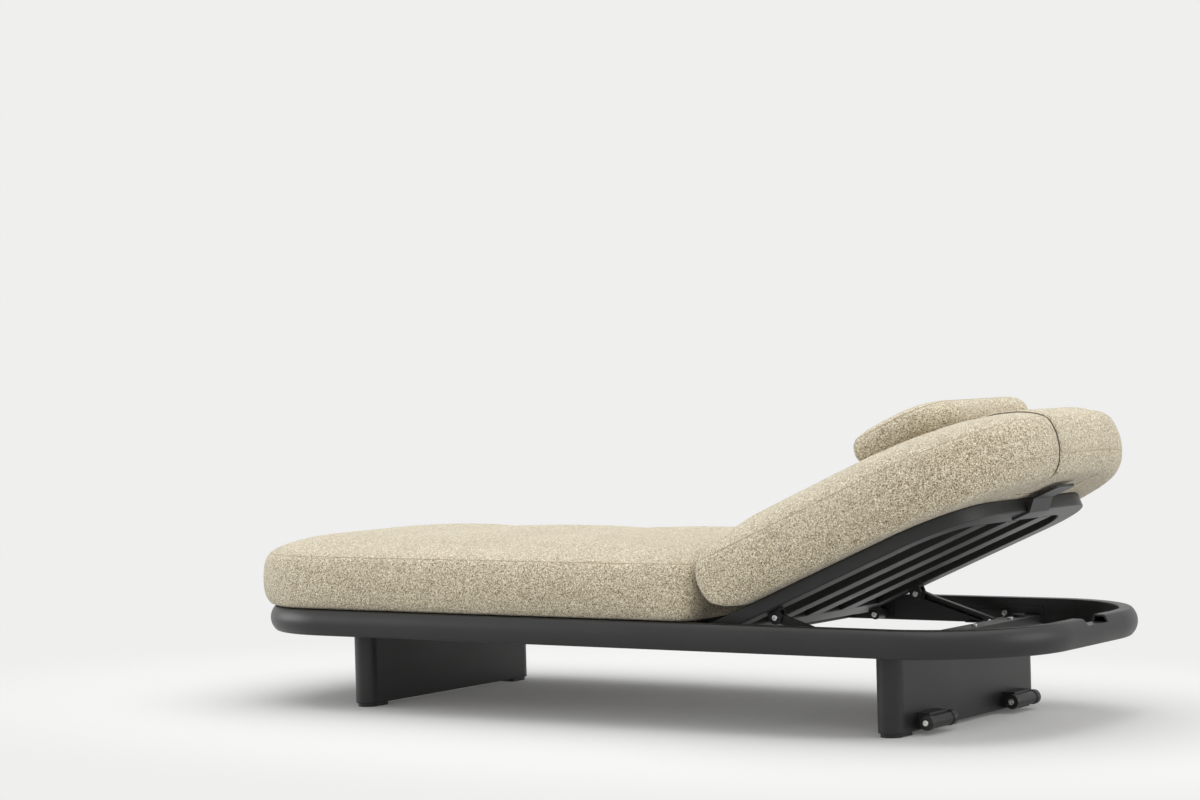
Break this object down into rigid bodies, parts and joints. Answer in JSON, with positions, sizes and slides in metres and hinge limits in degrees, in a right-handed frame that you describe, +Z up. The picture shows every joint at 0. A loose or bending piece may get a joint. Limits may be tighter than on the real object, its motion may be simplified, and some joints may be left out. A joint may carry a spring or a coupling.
{
  "type": "relaxation_lounger",
  "caption": "Low spa lounger with a rounded ring frame on panel legs, reclining slatted back, thick cushions, head pillow and rollers",
  "frame": {"origin": "on the floor under the centre of the bounding box", "axes": "+X from the foot end to the head end, +Y to the far side, +Z up"},
  "size_m": [2.123, 0.84, 0.7069],
  "materials": {
    "frame": "matte anthracite powder coat",
    "inner_metal": "plain aluminium",
    "stainless": "stainless steel",
    "black_plastic": "matte black plastic",
    "rubber": "matte black rubber",
    "upholstery": "beige melange boucle weave"
  },
  "bodies": {
    "frame": {"near_side_rail": "frame", "far_side_rail": "frame", "foot_bow": "frame", "head_bow": "frame", "rail_joint_sleeves": "inner_metal", "notch_liner": "black_plastic", "foot_cross_beam": "frame", "middle_cross_beam": "frame", "head_cross_beam": "frame", "foot_leg_panel": "frame", "head_leg_panel": "frame", "foot_glides": "black_plastic", "leg_bolts": "stainless", "deck_near_side": "frame", "deck_far_side": "frame", "deck_end_tube": "frame", "deck_bow": "frame", "deck_slat_1": "frame", "deck_slat_2": "frame", "deck_slat_3": "frame", "deck_pads": "rubber", "back_stop_pads": "rubber", "near_hinge_bracket": "frame", "far_hinge_bracket": "frame", "hinge_pins": "stainless", "hinge_washers": "black_plastic", "near_ratchet_rail": "frame", "far_ratchet_rail": "frame", "ratchet_screws": "stainless", "near_roller_housing": "frame", "far_roller_housing": "frame", "near_roller_axle": "stainless", "far_roller_axle": "stainless", "seat_cushion": "upholstery"},
    "backrest": {"back_near_side": "frame", "back_far_side": "frame", "back_end_tube": "frame", "back_bow": "frame", "back_slat_1": "frame", "back_slat_2": "frame", "back_slat_3": "frame", "near_hinge_lug": "frame", "far_hinge_lug": "frame", "near_strut_bracket": "frame", "far_strut_bracket": "frame", "strut_pivot_bolts": "stainless", "lift_tongue": "frame"},
    "strut_near": {"near_strut": "frame", "near_end_pin": "stainless"},
    "strut_far": {"far_strut": "frame", "far_end_pin": "stainless"},
    "back_pad": {"back_cushion": "upholstery"},
    "headrest": {"head_pillow": "upholstery", "pillow_flap": "upholstery"},
    "rollers_near": {"near_rollers": "black_plastic"},
    "rollers_far": {"far_rollers": "black_plastic"}
  },
  "joints": [
    {"name": "back_recline", "type": "hinge", "parent": "frame", "child": "backrest", "pos_m": [0.3275, 0, 0.191], "axis": [0, -1, 0], "range_deg": [-23.2, 30]},
    {"name": "strut_fold_near", "type": "hinge", "parent": "backrest", "child": "strut_near", "pos_m": [0.45781, -0.312, 0.24565], "axis": [0, -1, 0], "range_deg": [-51, 40]},
    {"name": "strut_fold_far", "type": "hinge", "parent": "backrest", "child": "strut_far", "pos_m": [0.45781, 0.312, 0.24565], "axis": [0, -1, 0], "range_deg": [-51, 40]},
    {"name": "back_cushion_slide", "type": "slide", "parent": "backrest", "child": "back_pad", "axis": [0.9191, 0, 0.3939], "range_m": [-0.064, 0.082]},
    {"name": "pillow_slide", "type": "slide", "parent": "back_pad", "child": "headrest", "axis": [0.9191, 0, 0.3939], "range_m": [0, 0.16]},
    {"name": "near_roller_spin", "type": "hinge", "parent": "frame", "child": "rollers_near", "pos_m": [0.7785, -0.197, 0.027], "axis": [0, 1, 0], "continuous": true},
    {"name": "far_roller_spin", "type": "hinge", "parent": "frame", "child": "rollers_far", "pos_m": [0.7785, 0.197, 0.027], "axis": [0, 1, 0], "continuous": true}
  ],
  "couplings": [
    {"joint": "strut_fold_near", "follows": "back_recline", "ratio": -1.67},
    {"joint": "strut_fold_far", "follows": "back_recline", "ratio": -1.67},
    {"joint": "back_cushion_slide", "follows": "back_recline", "m_per_rad": 0.155}
  ]
}
